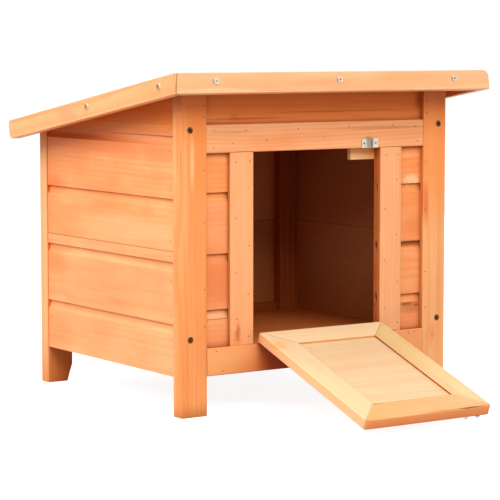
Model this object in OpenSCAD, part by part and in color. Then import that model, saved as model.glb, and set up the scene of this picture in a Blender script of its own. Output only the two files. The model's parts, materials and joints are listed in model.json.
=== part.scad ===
// Pine pet house with a drop-down ramp door
//
// Grooved pine boards close the walls between four corner posts. A felted lean-to roof falls to
// the back. The mitred door swings down on two let-in hinges and comes to rest as a ramp, held
// off the ground by the knob of its own barrel bolt.
//
// Millimetres, +Z up. The origin is on the ground, in the middle of the space that the house
// takes up with its ramp down. House coordinates start at the front face of the front posts and
// at the middle of the width, with +Y towards the back.

/* [House] */
// Width across the corner posts
house_w = 426; // [400:1:460]
// Depth from the front of the front posts to the back of the rear legs
house_d = 370; // [340:1:410]
// Width of a corner post, seen from the front
post_w = 38; // [34:1:44]
// Thickness of a corner post, front to back
post_t = 20; // [18:1:24]
// Height of the chamfer on the foot of a rear leg
foot_h = 24.5; // [15:0.5:40]
// How much of the leg's width that chamfer takes away
foot_cut = 8; // [4:0.5:12]
// Clear height between the ground and the wall boards
ground_gap = 51; // [44:1:60]
// Width of the small chamfer that eases the outer edges of posts, trim and fascias
arris = 0.8; // [0.4:0.1:1.2]

/* [Roof] */
// Height of the roof's front top edge
roof_z = 438; // [430:1:460]
// Fall of the roof towards the back, in degrees
roof_fall = 9.35; // [8:0.05:11]
// Overhang of the roof in front of the posts
eave_front = 43; // [36:1:55]
// Overhang of the roof behind the rear legs
eave_rear = 22; // [16:1:30]
// Overhang of the roof at each side
eave_side = 37; // [30:1:44]
// Thickness of the roof boards
roof_board_t = 16; // [14:1:18]
// Thickness of the roofing felt
felt_t = 2; // [1.5:0.5:3]
// How far the felt lies below the top edges of the fascias
felt_drop = 1; // [0.5:0.5:2]
// How far the felt folds down over the back edge
felt_lip = 14; // [10:1:16]
// Height of the fascias
fascia_h = 26; // [24:1:30]
// Thickness of the fascias
fascia_t = 12; // [10:1:15]
// Width of the open line along the mitre between two fascias
mitre_gap = 0.3; // [0.2:0.1:0.6]
// Rounding of the front fascia's free top corner
fascia_round = 9; // [4:0.5:10]
// Rounding of the upper corner at the back end of a side fascia
tail_round = 6.5; // [3:0.5:8]
// Rounding of the lower corner at the back end of a side fascia
tail_round_low = 8; // [3:0.5:9]

/* [Wall boards] */
// Thickness of the wall boards
board_t = 8; // [7.5:0.5:9]
// Height of the side walls' tapering top board at the front posts
wedge_h = 37.4; // [30:0.2:45]
// Cover width of a front board
front_board_w = 150; // [140:1:156]
// Cover width of the narrow board at the foot of the front wall
front_starter_w = 71.5; // [60:0.5:80]
// Height of a milled groove, from its step to where it runs out
groove_h = 12.5; // [10:0.5:15]
// Depth of a milled groove
groove_depth = 3; // [2:0.25:3.25]
// Height of the square step at the top of a groove
groove_step = 4; // [3:0.5:6]
// Distance from a board's upper joint down to its upper groove
groove_inset = 13.5; // [10:0.5:18]
// Distance between the two grooves of a side board
groove_pitch = 79.5; // [70:0.5:85]
// Distance from a front board's lower joint up to its middle groove
front_groove_rise = 84; // [75:0.5:90]
// Thickness of the tongue between two boards
tongue_t = 2.4; // [2:0.1:2.8]
// Height of that tongue
tongue_h = 5; // [3:0.5:6]
// Play around the tongue in its socket, on every side
tongue_play = 0.2; // [0.1:0.05:0.3]
// How far the side boards lie inside the posts' outer faces
side_recess = 1; // [0:0.5:3]
// How far the front and rear boards lie behind the faces of their posts
front_recess = 7.5; // [6.5:0.5:9]
// How deep the front and rear boards are housed in the posts
housing_depth = 6; // [4:0.5:8]
// Play of a housed board in its housing
housing_play = 0.2; // [0.1:0.05:0.3]

/* [Corner battens and floor] */
// Width of a corner batten, from the side wall inwards
batten_w = 31.5; // [28:0.5:36]
// Thickness of a corner batten, front to back
batten_t = 14; // [12:0.5:18]
// How far the floor lies below the sill of the doorway
sill_step = 10; // [6:1:12]
// Thickness of the floor panel
floor_t = 10; // [8:1:12]
// Thickness of the bearers under the floor
bearer_t = 18; // [14:1:22]
// Height of the strip along the foot of the rear wall
strip_h = 11; // [8:1:15]
// Thickness of that strip
strip_t = 10; // [8:1:14]

/* [Front trim] */
// Width of the trim boards round the doorway
trim_w = 36; // [32:1:40]
// Thickness of the header and the two stiles
trim_t = 6; // [5:0.5:6.5]
// Width of the doorway
doorway_w = 205; // [190:1:215]
// Distance of the header's upper edge below the roof's front top edge
header_drop = 66.5; // [60:0.5:80]
// Width of the stop block behind the header
block_w = 60; // [40:1:70]
// How far the stop block reaches past the side of the doorway
block_lap = 20.5; // [10:0.5:30]
// How far the stop block hangs into the doorway
block_drop = 16; // [12:1:20]
// How far the stop block reaches up behind the header
block_rise = 20; // [15:1:25]
// Thickness of the stop block
block_t = 7; // [6:0.5:12]

/* [Door] */
// Gap at each side of the closed door
door_side_gap = 3.5; // [2:0.25:5]
// Gap above the closed door
door_top_gap = 3.1; // [2:0.1:4]
// Gap below the closed door, where the hinges sit
hinge_gap = 2.4; // [2.2:0.1:3]
// Gap between the closed door and its stop block
stop_gap = 0.3; // [0.2:0.05:0.6]
// Thickness of the door frame
door_t = 13.5; // [12.5:0.25:15]
// Width of the four mitred members of the door frame
member_w = 37; // [35:0.5:42]
// Thickness of the door panel
panel_t = 9; // [8:0.5:10]
// Thickness of the tongue round the door panel
panel_tongue_t = 5; // [4:0.5:6]
// Depth of the groove in the members that takes this tongue
panel_groove = 6.3; // [5:0.1:8]
// Play of the panel in its groove
panel_play = 0.15; // [0.1:0.05:0.25]
// Rounding of the door's two free corners
door_round = 6; // [3:0.5:8]
// Rounding along the outer edges of the door frame
edge_round = 1.5; // [0.5:0.25:2]

/* [Hinges] */
// Length of a hinge
hinge_len = 30; // [24:1:36]
// Distance of each hinge from the middle of the door
hinge_x = 60; // [45:1:70]
// Thickness of the hinge leaves
leaf_t = 1; // [0.9:0.05:1.1]
// Reach of a leaf from the pin's axis
leaf_reach = 15; // [14.4:0.1:15.4]
// Distance of the leaf's screws from the pin's axis
leaf_screw_y = 11.6; // [11:0.1:12]
// Radius of the hinge pin
pin_r = 1; // [0.9:0.05:1.1]
// Distance of the pin's axis in front of the posts
pin_forward = 0.6; // [0.4:0.1:1]
// Play between neighbouring knuckles
knuckle_play = 0.3; // [0.2:0.05:0.4]
// Radial play of the pin in its knuckles
pin_play = 0.05; // [0.03:0.01:0.1]

/* [Bolt] */
// Distance of the bolt from the door's right edge
bolt_inset = 15; // [13:0.5:25]
// Diameter of the bolt rod
rod_d = 4; // [3.5:0.25:4.5]
// Length of the bolt rod
rod_len = 40; // [38:1:44]
// How far the drawn bolt ends inside the door's free edge
rod_set = 2; // [1:0.5:4]
// Travel of the bolt
bolt_throw = 12; // [10:0.5:13]
// Radial play of the rod in its guides
rod_play = 0.1; // [0.05:0.01:0.1]
// Thickness of the bolt's plate, its guides and its keeper
plate_t = 1; // [0.8:0.1:1.2]
// Width of the bolt's plate
plate_w = 22; // [20:1:26]
// Distance of the plate from the door's free edge
plate_set = 3; // [2:0.5:4]
// Distance of the plate's screws from its ends, which keeps them off the mitre
plate_screw_inset = 2.6; // [2.2:0.1:3]
// Distance of a guide from the end of the plate
guide_inset = 2; // [1:0.5:3]
// Length of a guide
guide_len = 6; // [5:0.5:7]
// Play between the knob's stem and a guide at either end of the travel
stem_play = 0.4; // [0.3:0.1:0.8]
// Diameter of the knob's stem
stem_d = 3.2; // [2.5:0.1:3.6]
// Diameter of the round end of the knob
knob_d = 6; // [5:0.25:7]
// Height of the knob above the door's outer face
knob_h = 18; // [16:0.5:20]
// Width of the keeper on the header
keeper_w = 27; // [24:1:30]
// Height of the keeper
keeper_h = 12.2; // [10:0.1:14]
// Radial play of the rod in the keeper
keeper_play = 0.3; // [0.3:0.05:0.5]
// Distance of the keeper's screws from its middle
keeper_screw_x = 10; // [8:0.5:11]

/* [Screws] */
// Head diameter of the screws through the posts
post_head_d = 8.5; // [8:0.25:9]
// Shank diameter of the screws through the posts
post_shank_d = 4.5; // [4:0.25:5]
// Length of the screws through the posts
post_screw_len = 32; // [28:1:33]
// Distance of these screws from the outer side of the post
post_screw_inset = 13; // [12:0.5:16]
// Height of the lower screw in each post
post_screw_low = 99.6; // [95:0.1:110]
// Distance of the upper screw below the top of the wall
post_screw_drop = 46.5; // [40:0.5:60]
// Head diameter of the screws in the roof
roof_head_d = 6.4; // [6:0.1:7]
// Shank diameter of the screws in the roof
roof_shank_d = 3.5; // [3:0.1:4]
// Length of the screws that hold the fascias
fascia_screw_len = 30; // [25:1:34]
// Distance of the outer fascia screws from the middle of the front
fascia_screw_x = 190; // [170:1:200]
// Distance of a side fascia's first screw from the roof's front edge
side_screw_y = 38.5; // [30:0.5:60]
// Distance between the screws of a side fascia
side_screw_pitch = 181.5; // [160:0.5:190]
// Length of the screws that hold the roof down on the corner battens
roof_screw_len = 45; // [38:1:48]
// Diameter of the cup washers
washer_d = 9.4; // [9:0.1:11]
// Height of the cup washers
washer_h = 1.6; // [1.6:0.1:2]
// Head diameter of the small screws in the door's fittings
small_head_d = 3.8; // [3.5:0.1:3.8]
// Shank diameter of the small screws
small_shank_d = 2; // [1.8:0.1:2.2]
// Length of the small screws in the hinges
hinge_screw_len = 14; // [10:1:16]
// Length of the small screws in the bolt and the keeper
plate_screw_len = 9; // [7:1:10]
// Radius that a screw's point ends in
screw_tip_r = 0.2; // [0.1:0.05:0.3]
// Radial play of every screw in its hole
screw_play = 0.05; // [0.03:0.01:0.1]

/* [Hidden] */
$fn = 48;

PINE = "#F2AE72";
PINE_TRIM = "#F5B47A";
PINE_INSIDE = "#C98550";
RAMP = "#F8D79C";
FELT = "#3F4A42";
STEEL = "#C9C6BE";

// How far cutters run past the faces that they open
over = 1;
// Depth of a screw's cross recess, as a share of the height of its head
recess_share = 0.8;
// Size of the block that clears everything above the walls
clear_block = 2 * (house_w + house_d);

// Roof: its build-up below the fascias' top edges, measured square to the slope
roof_w = house_w + 2 * eave_side;
roof_len = (eave_front + house_d + eave_rear) / cos(roof_fall);
felt_top = -felt_drop;
boards_top = felt_top - felt_t;
boards_low = boards_top - roof_board_t;
boards_mid = (boards_top + boards_low) / 2;
roof_board_x = roof_w / 2 - fascia_t;
roof_boards = 3;
roof_board_w = (roof_len - fascia_t - felt_t) / roof_boards;
// Rounding of the front fascia's free lower corner
free_round_low = 2;

// Height of the roof boards' underside at a distance behind the front of the posts
function wall_top(y) = roof_z - (y + eave_front) * tan(roof_fall) + boards_low / cos(roof_fall);
// Distance down the slope of the point on that underside above a given depth
function slope_at(y) = (y + eave_front - boards_low * sin(roof_fall)) / cos(roof_fall);

// Walls
post_x = house_w / 2 - post_w;
side_face_x = house_w / 2 - side_recess;
side_inner_x = side_face_x - board_t;
side_len = house_d - 2 * post_t;
front_inner_y = front_recess + board_t;
rear_inner_y = house_d - front_recess - board_t;
batten_x = side_inner_x - batten_w;
housed_x = post_x + housing_depth - housing_play;
// Cover width of a side or rear board: two fill the side wall up to its tapering top board
board_w = (wall_top(post_t) - ground_gap - wedge_h) / 2;
cove_h = groove_h - groove_step;
cove_r = (groove_depth * groove_depth + cove_h * cove_h) / (2 * groove_depth);
side_grooves = [board_w - groove_inset - groove_pitch, board_w - groove_inset];
front_grooves = [groove_h, front_groove_rise];
front_joint_z = ground_gap + front_starter_w;
front_top_joint_z = front_joint_z + front_board_w;

// Doorway and trim
sill_z = ground_gap + trim_w;
lintel_z = roof_z - header_drop - trim_w;
doorway_h = lintel_z - sill_z;
trim_face_y = front_recess - trim_t;
jamb_x = doorway_w / 2;

// Floor
floor_top_z = sill_z - sill_step;
floor_low_z = floor_top_z - floor_t;

// Door, measured from the hinge pin: y towards the inside, z up the closed door
door_w = doorway_w - 2 * door_side_gap;
door_h = doorway_h - hinge_gap - door_top_gap;
pin_y = -pin_forward;
pin_z = sill_z + hinge_gap / 2;
door_face = front_inner_y - stop_gap - door_t - pin_y;
door_back = door_face + door_t;
door_foot = hinge_gap / 2;
door_end = door_foot + door_h;
panel_w = door_w - 2 * member_w;
panel_h = door_h - 2 * member_w;
panel_tongue = panel_groove - panel_play;

// Hinges
barrel_r = pin_r + leaf_t;
leaf_start = barrel_r + knuckle_play;
knuckle_len = hinge_len / 3;
leaf_screw_x = hinge_len / 3;
inner_span = (knuckle_len - knuckle_play) / 2;
outer_span = (knuckle_len + knuckle_play) / 2;
pin_head_r = (pin_r + barrel_r) / 2;
pin_head_t = leaf_t;
notch_x = hinge_len / 2 + pin_head_t + knuckle_play;

// Bolt
bolt_x = door_w / 2 - bolt_inset;
rod_r = rod_d / 2;
rod_lift = plate_t + rod_r + rod_play;
stem_r = stem_d / 2;
knob_r = knob_d / 2;
guide_space = bolt_throw + stem_d + 2 * stem_play;
plate_len = 2 * (guide_inset + guide_len) + guide_space;
plate_end = door_h - plate_set;
plate_start = plate_end - plate_len;
upper_guide_z = door_end - plate_set - guide_inset - guide_len;
lower_guide_z = upper_guide_z - guide_space - guide_len;
knob_z = lower_guide_z + guide_len + stem_play + stem_r;
knob_y = door_face - knob_h + knob_r;
plate_screw_x = (plate_w + 2 * (rod_r + rod_play + plate_t)) / 4;
keeper_axis = trim_face_y - (door_face + pin_y - rod_lift);

// The ramp comes to rest where the round end of the knob meets the ground
knob_reach = sqrt(knob_z * knob_z + knob_y * knob_y);
ramp_dip = asin((pin_z - knob_r) / knob_reach) - atan2(-knob_y, knob_z);

// Front-to-back extent, which centres the part on its origin
ramp_tip_y = pin_y - (door_back - edge_round) * sin(ramp_dip)
    - (door_end - edge_round) * cos(ramp_dip) - edge_round;
roof_tail_y = -eave_front + roof_len * cos(roof_fall) + felt_top * sin(roof_fall);
front_y = -(ramp_tip_y + roof_tail_y) / 2;

// Frames of reference
module in_house() translate([0, front_y, 0]) children();
module on_roof() translate([0, -eave_front, roof_z]) rotate([-roof_fall, 0, 0]) children();
module at_pin() translate([0, pin_y, pin_z]) children();
// Carries the door from its closed position down to the ramp
module on_door() at_pin() rotate([90 + ramp_dip, 0, 0]) children();
// Door lying flat: x across, y from the hinges to the free edge, z from the inner to the outer face
module on_door_plan() on_door() translate([0, door_back, door_foot]) rotate([90, 0, 0]) children();
module on_side(side) mirror([side < 0 ? 1 : 0, 0, 0]) children();
module at_back() translate([0, house_d, 0]) mirror([0, 1, 0]) children();

// Shared cutters
module above_walls() on_roof()
    translate([-clear_block / 2, -clear_block / 2, boards_low]) cube(clear_block);
module corner_waste(r) difference() {
    square(2 * r);
    circle(r);
}
module doorway() translate([-jamb_x, -over, sill_z])
    cube([doorway_w, front_inner_y + 2 * over, doorway_h]);

// Section of a planed bar whose front edges, at y = 0, are eased
module eased_section(w, t)
    polygon([[arris, 0], [w - arris, 0], [w, arris], [w, t], [0, t], [0, arris]]);
// Such a bar along +x, of thickness t and height w
module eased_bar(length, t, w) translate([0, 0, w]) rotate([0, 90, 0])
    linear_extrude(length) eased_section(w, t);

// Countersunk screw shape: its head's top face lies at z = 0 and its point looks down
module screw_body(head_d, shank_d, length, play = 0) {
    head_r = head_d / 2 + play;
    shank_r = shank_d / 2 + play;
    cone_h = (head_d - shank_d) / 2;
    point_h = shank_d;
    translate([0, 0, -cone_h]) cylinder(h = cone_h, r1 = shank_r, r2 = head_r);
    translate([0, 0, point_h - length]) cylinder(h = length - point_h, r = shank_r);
    translate([0, 0, -length - play]) cylinder(h = point_h + play, r1 = screw_tip_r, r2 = shank_r);
}
// The screw itself, with the cross recess that it is driven by
module screw(head_d, shank_d, length) difference() {
    recess_depth = (head_d - shank_d) / 2 * recess_share;
    screw_body(head_d, shank_d, length);
    for (turn = [0, 90]) rotate([0, 0, turn])
        translate([-head_d / 4, -head_d / 16, -recess_depth])
            cube([head_d / 2, head_d / 8, recess_depth + over]);
}
// The hole for such a screw, open above its head
module screw_hole(head_d, shank_d, length) {
    screw_body(head_d, shank_d, length, screw_play);
    cylinder(h = over, r = head_d / 2 + screw_play);
}

// Screws through the posts: two in each, into the batten behind it
module post_screw_places() for (side = [-1, 1], back = [false, true]) {
    top_z = wall_top(back ? house_d : 0) - post_screw_drop;
    face_y = back ? house_d : 0;
    for (z = [post_screw_low, top_z])
        translate([side * (house_w / 2 - post_screw_inset), face_y, z])
            rotate([back ? -90 : 90, 0, 0]) children();
}
module post_screw_holes() post_screw_places() screw_hole(post_head_d, post_shank_d, post_screw_len);
module post_screws() color(STEEL) in_house()
    post_screw_places() screw(post_head_d, post_shank_d, post_screw_len);

// Posts and legs
module post_blank() difference() {
    translate([post_x, 0, 0]) linear_extrude(roof_z) eased_section(post_w, post_t);
    translate([post_x - over, front_recess - housing_play / 2, ground_gap])
        cube([housing_depth + over, board_t + housing_play, roof_z]);
}
module front_post(side) color(PINE_TRIM) in_house() difference() {
    on_side(side) post_blank();
    above_walls();
    post_screw_holes();
}
module rear_leg(side) color(PINE) in_house() difference() {
    on_side(side) at_back() post_blank();
    on_side(side) translate([post_x, house_d + over, 0]) rotate([90, 0, 0])
        linear_extrude(post_t + 2 * over)
            polygon([[-over, -over], [foot_cut, -over], [foot_cut, 0], [0, foot_h], [-over, foot_h]]);
    above_walls();
    post_screw_holes();
}
module front_left_post() front_post(-1);
module front_right_post() front_post(1);
module rear_left_leg() rear_leg(-1);
module rear_right_leg() rear_leg(1);

// Corner battens, which the ends of the side boards are nailed to
module batten_blank() translate([batten_x, post_t, ground_gap]) cube([batten_w, batten_t, roof_z]);
module batten(side, back) color(PINE_INSIDE) in_house() difference() {
    on_side(side) if (back) at_back() batten_blank(); else batten_blank();
    above_walls();
    post_screw_holes();
    roof_screw_holes();
}
module front_left_batten() batten(-1, false);
module front_right_batten() batten(1, false);
module rear_left_batten() batten(-1, true);
module rear_right_batten() batten(1, true);

// Wall boards. In profile x runs from the outer face inwards and y up from the lower joint.
module cove_groove() {
    translate([-over, -groove_step]) square([groove_depth + over, groove_step]);
    intersection() {
        translate([groove_depth - cove_r, -groove_step]) circle(cove_r, $fn = 96);
        translate([-over, -groove_h]) square([groove_depth + over, cove_h]);
    }
}
module tongue_profile(play = 0) translate([(groove_depth + board_t - tongue_t) / 2 - play, -over])
    square([tongue_t + 2 * play, tongue_h + play + over]);
module board_profile(height, grooves, socket, tongue) {
    difference() {
        square([board_t, height]);
        for (top = grooves) translate([0, top]) cove_groove();
        if (socket) tongue_profile(tongue_play);
    }
    if (tongue) translate([0, height]) tongue_profile();
}
// A side board lies at x = 0 with its outer face, and runs from the front post to the rear leg
module side_board(side, z, height, grooves, socket, tongue) color(PINE) in_house() difference() {
    on_side(side) translate([side_face_x, post_t, z]) mirror([1, 0, 0])
        rotate([90, 0, 0]) mirror([0, 0, 1])
            linear_extrude(side_len) board_profile(height, grooves, socket, tongue);
    above_walls();
}
module side_board_lower(side) side_board(side, ground_gap, board_w, side_grooves, false, true);
module side_board_middle(side)
    side_board(side, ground_gap + board_w, board_w, side_grooves, true, true);
module side_board_upper(side)
    side_board(side, ground_gap + 2 * board_w, roof_z - ground_gap - 2 * board_w, [], true, false);
module left_board_lower() side_board_lower(-1);
module left_board_middle() side_board_middle(-1);
module left_board_upper() side_board_upper(-1);
module right_board_lower() side_board_lower(1);
module right_board_middle() side_board_middle(1);
module right_board_upper() side_board_upper(1);

// A cross board spans between the posts from x0 to x1, housed in them
module cross_board(x0, x1, z, height, grooves, socket, tongue)
    translate([x0, front_recess, z]) rotate([90, 0, 90])
        linear_extrude(x1 - x0) board_profile(height, grooves, socket, tongue);
module rear_board(z, height, grooves, socket, tongue) color(PINE) in_house() difference() {
    at_back() cross_board(-housed_x, housed_x, z, height, grooves, socket, tongue);
    above_walls();
}
module rear_board_lower() rear_board(ground_gap, board_w, side_grooves, false, true);
module rear_board_upper()
    rear_board(ground_gap + board_w, roof_z - ground_gap - board_w, side_grooves, true, false);

module front_board(x0, x1, z, height, grooves, socket, tongue) color(PINE) in_house() difference() {
    cross_board(x0, x1, z, height, grooves, socket, tongue);
    doorway();
    sill_notches();
    keeper_screw_holes();
    rail_hinge_screw_holes();
    above_walls();
}
module front_board_lower()
    front_board(-housed_x, housed_x, ground_gap, front_starter_w, [], false, true);
module front_board_left()
    front_board(-housed_x, -jamb_x, front_joint_z, front_board_w, front_grooves, true, true);
module front_board_right()
    front_board(jamb_x, housed_x, front_joint_z, front_board_w, front_grooves, true, true);
module front_board_upper() front_board(
    -housed_x, housed_x, front_top_joint_z, roof_z - front_top_joint_z, [groove_h], true, false);

// Trim on the face of the front boards
module bottom_rail() color(PINE_TRIM) in_house() difference() {
    translate([-post_x, 0, ground_gap]) eased_bar(2 * post_x, front_recess, trim_w);
    sill_notches();
    rail_hinge_screw_holes();
}
module header() color(PINE_TRIM) in_house() difference() {
    translate([-post_x, trim_face_y, lintel_z]) eased_bar(2 * post_x, trim_t, trim_w);
    keeper_screw_holes();
}
module trim_stile(side) color(PINE_TRIM) in_house() on_side(side)
    translate([jamb_x, trim_face_y, sill_z])
        linear_extrude(doorway_h) eased_section(trim_w, trim_t);
module left_stile() trim_stile(-1);
module right_stile() trim_stile(1);
module stop_block() color(RAMP) in_house()
    translate([jamb_x + block_lap - block_w, front_inner_y, lintel_z - block_drop])
        cube([block_w, block_t, block_drop + block_rise]);

// Floor
module floor_panel() color(PINE_INSIDE) in_house() difference() {
    translate([-side_inner_x, front_inner_y, floor_low_z])
        cube([2 * side_inner_x, rear_inner_y - front_inner_y, floor_t]);
    for (side = [-1, 1], back = [false, true]) on_side(side) {
        notch_y = back ? house_d - post_t - batten_t : front_inner_y - over;
        notch_end = back ? rear_inner_y + over : post_t + batten_t;
        translate([batten_x, notch_y, floor_low_z - over])
            cube([batten_w + over, notch_end - notch_y, floor_t + 2 * over]);
    }
}
module cross_bearer(y) color(PINE_INSIDE) in_house()
    translate([-batten_x, y, ground_gap]) cube([2 * batten_x, bearer_t, floor_low_z - ground_gap]);
module front_bearer() cross_bearer(front_inner_y);
module rear_bearer() cross_bearer(rear_inner_y - bearer_t);
module side_bearer(side) color(PINE_INSIDE) in_house() on_side(side)
    translate([side_inner_x - bearer_t, post_t + batten_t, ground_gap])
        cube([bearer_t, side_len - 2 * batten_t, floor_low_z - ground_gap]);
module left_bearer() side_bearer(-1);
module right_bearer() side_bearer(1);
module rear_floor_strip() color(PINE_INSIDE) in_house()
    translate([-batten_x, rear_inner_y - strip_t, floor_top_z]) cube([2 * batten_x, strip_t, strip_h]);

// Roof boards: three tongued boards that run from side to side
module roof_board(index) color(PINE_INSIDE) in_house() difference() {
    on_roof() translate([-roof_board_x, fascia_t + index * roof_board_w, boards_low])
        rotate([90, 0, 90]) linear_extrude(2 * roof_board_x) {
            difference() {
                square([roof_board_w, roof_board_t]);
                if (index > 0) translate([-over, (roof_board_t - tongue_t) / 2 - tongue_play])
                    square([tongue_h + tongue_play + over, tongue_t + 2 * tongue_play]);
            }
            if (index < roof_boards - 1) translate([roof_board_w, (roof_board_t - tongue_t) / 2])
                square([tongue_h, tongue_t]);
        }
    fascia_screw_holes();
    roof_screw_holes();
}
module roof_board_front() roof_board(0);
module roof_board_middle() roof_board(1);
module roof_board_rear() roof_board(2);
module roof_felt() color(FELT) in_house() difference() {
    on_roof() translate([-roof_board_x, 0, 0]) rotate([90, 0, 90]) linear_extrude(2 * roof_board_x) {
        translate([fascia_t, boards_top]) square([roof_len - fascia_t, felt_t]);
        translate([roof_len - felt_t, felt_top - felt_lip]) square([felt_t, felt_lip]);
    }
    roof_screw_holes();
}

// Fascias. The left and front ones meet in a mitre; the front one runs past the right one.
module front_fascia() color(PINE_TRIM) in_house() difference() {
    on_roof() translate([-roof_w / 2, 0, -fascia_h]) eased_bar(roof_w, fascia_t, fascia_h);
    on_roof() translate([0, fascia_t + over, 0]) rotate([90, 0, 0])
        linear_extrude(fascia_t + 2 * over) {
            translate([roof_w / 2 - fascia_round, -fascia_round]) corner_waste(fascia_round);
            translate([roof_w / 2 - free_round_low, free_round_low - fascia_h]) mirror([0, 1])
                corner_waste(free_round_low);
        }
    on_roof() translate([mitre_gap / 2 - roof_w / 2, 0, -fascia_h - over]) rotate([0, 0, 45])
        translate([-over, 0, 0]) cube([2 * fascia_t, fascia_t, fascia_h + 2 * over]);
    fascia_screw_holes();
}
module side_fascia_blank(start) difference() {
    translate([roof_w / 2, start, -fascia_h]) rotate([0, 0, 90])
        eased_bar(roof_len - start, fascia_t, fascia_h);
    translate([roof_w / 2 + over, 0, 0]) rotate([0, -90, 0]) linear_extrude(fascia_t + 2 * over) {
        translate([-tail_round, roof_len - tail_round]) corner_waste(tail_round);
        translate([tail_round_low - fascia_h, roof_len - tail_round_low]) mirror([1, 0])
            corner_waste(tail_round_low);
    }
}
module left_fascia() color(PINE_TRIM) in_house() difference() {
    on_roof() on_side(-1) side_fascia_blank(0);
    on_roof() translate([-mitre_gap / 2 - roof_w / 2, 0, -fascia_h - over]) rotate([0, 0, 45])
        translate([-over, -fascia_t, 0]) cube([2 * fascia_t, fascia_t, fascia_h + 2 * over]);
    fascia_screw_holes();
}
module right_fascia() color(PINE_TRIM) in_house() difference() {
    on_roof() side_fascia_blank(fascia_t);
    fascia_screw_holes();
}

// Cup washers and screws in the roof. Each place looks out of the face that it stands on.
module fascia_screw_places() on_roof() {
    for (x = [-fascia_screw_x, 0, fascia_screw_x])
        translate([x, 0, boards_mid]) rotate([90, 0, 0]) children();
    for (side = [-1, 1], y = [side_screw_y, side_screw_y + side_screw_pitch])
        translate([side * roof_w / 2, y, boards_mid]) rotate([0, side * 90, 0]) children();
}
module roof_screw_places() for (side = [-1, 1], back = [false, true]) {
    lean = (roof_screw_len + boards_low) * sin(roof_fall) / 2;
    batten_y = back ? house_d - post_t - batten_t / 2 : post_t + batten_t / 2;
    on_roof() translate([side * (batten_x + batten_w / 2), slope_at(batten_y + lean), felt_top])
        children();
}
module washered_screw(length) translate([0, 0, washer_h])
    screw(roof_head_d, roof_shank_d, length + washer_h);
module washered_hole(length) translate([0, 0, washer_h])
    screw_body(roof_head_d, roof_shank_d, length + washer_h, screw_play);
module fascia_screw_holes() fascia_screw_places() washered_hole(fascia_screw_len);
module roof_screw_holes() roof_screw_places() washered_hole(roof_screw_len);
module cup_washer() difference() {
    cylinder(h = washer_h, d1 = washer_d, d2 = roof_head_d + washer_h);
    translate([0, 0, -over]) cylinder(h = washer_h + over, r = roof_shank_d / 2 + screw_play);
    washered_hole(fascia_screw_len);
}
module cup_washers() color(STEEL) in_house() {
    fascia_screw_places() cup_washer();
    roof_screw_places() cup_washer();
}
module fascia_screws() color(STEEL) in_house() fascia_screw_places() washered_screw(fascia_screw_len);
module roof_screws() color(STEEL) in_house() roof_screw_places() washered_screw(roof_screw_len);

// Door frame: a grooved bar along +x, with its outer edge at y = 0, mitred at both ends
module door_bar(length) intersection() {
    rotate([90, 0, 90]) linear_extrude(length) difference() {
        square([member_w, door_t]);
        translate([edge_round, door_t - edge_round]) mirror([1, 0]) corner_waste(edge_round);
        translate([edge_round, edge_round]) mirror([1, 0]) mirror([0, 1]) corner_waste(edge_round);
        translate([member_w - panel_groove, (door_t - panel_tongue_t) / 2 - panel_play])
            square([panel_groove + over, panel_tongue_t + 2 * panel_play]);
    }
    linear_extrude(door_t)
        polygon([[0, 0], [length, 0], [length - member_w, member_w], [member_w, member_w]]);
}
module free_corners() for (side = [-1, 1]) on_side(side)
    translate([door_w / 2 - door_round, door_h - door_round, -over])
        linear_extrude(door_t + 2 * over) corner_waste(door_round);
module door_stile(side) color(RAMP) in_house() on_door_plan() difference() {
    on_side(side) translate([door_w / 2, 0, 0]) rotate([0, 0, 90]) door_bar(door_h);
    free_corners();
    plate_screw_holes();
}
module door_left_stile() door_stile(-1);
module door_right_stile() door_stile(1);
module door_bottom_rail() color(RAMP) in_house() difference() {
    on_door_plan() translate([-door_w / 2, 0, 0]) door_bar(door_w);
    on_door() mirror([0, 0, 1]) hinge_places() leaf_notch();
    on_door() mirror([0, 0, 1]) hinge_places() leaf_screw_places()
        screw_hole(small_head_d, small_shank_d, hinge_screw_len);
}
module door_top_rail() color(RAMP) in_house() on_door_plan() difference() {
    translate([door_w / 2, door_h, 0]) rotate([0, 0, 180]) door_bar(door_w);
    free_corners();
    plate_screw_holes();
}
module door_panel() color(RAMP) in_house() on_door_plan() {
    translate([-panel_w / 2, member_w, (door_t - panel_t) / 2]) cube([panel_w, panel_h, panel_t]);
    translate([-panel_w / 2 - panel_tongue, member_w - panel_tongue, (door_t - panel_tongue_t) / 2])
        cube([panel_w + 2 * panel_tongue, panel_h + 2 * panel_tongue, panel_tongue_t]);
}

// Hinges, drawn about the pin with the leaf below it, as it lies on the sill
module hinge_places() for (side = [-1, 1]) translate([side * hinge_x, 0, 0]) children();
module leaf_screw_places() for (side = [-1, 1])
    translate([side * leaf_screw_x, leaf_screw_y, leaf_t - barrel_r]) children();
module leaf_notch() translate([-notch_x, 0, -barrel_r])
    cube([2 * notch_x, leaf_reach + knuckle_play, barrel_r]);
module knuckle(x0, x1) {
    translate([x0, 0, 0]) rotate([0, 90, 0]) cylinder(h = x1 - x0, r = barrel_r);
    translate([x0, 0, -barrel_r]) cube([x1 - x0, leaf_start + over, leaf_t]);
}
module hinge_leaf(spans) difference() {
    union() {
        translate([-hinge_len / 2, leaf_start, -barrel_r])
            cube([hinge_len, leaf_reach - leaf_start, leaf_t]);
        for (span = spans) knuckle(span[0], span[1]);
    }
    translate([-hinge_len, 0, 0]) rotate([0, 90, 0])
        cylinder(h = 2 * hinge_len, r = pin_r + pin_play);
    leaf_screw_places() screw_hole(small_head_d, small_shank_d, hinge_screw_len);
}
module sill_notches() at_pin() hinge_places() {
    leaf_notch();
    translate([-notch_x, 0, 0]) rotate([0, 90, 0])
        cylinder(h = 2 * notch_x, r = barrel_r + knuckle_play);
}
module rail_hinge_screw_holes() at_pin() hinge_places() leaf_screw_places()
    screw_hole(small_head_d, small_shank_d, hinge_screw_len);
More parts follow.
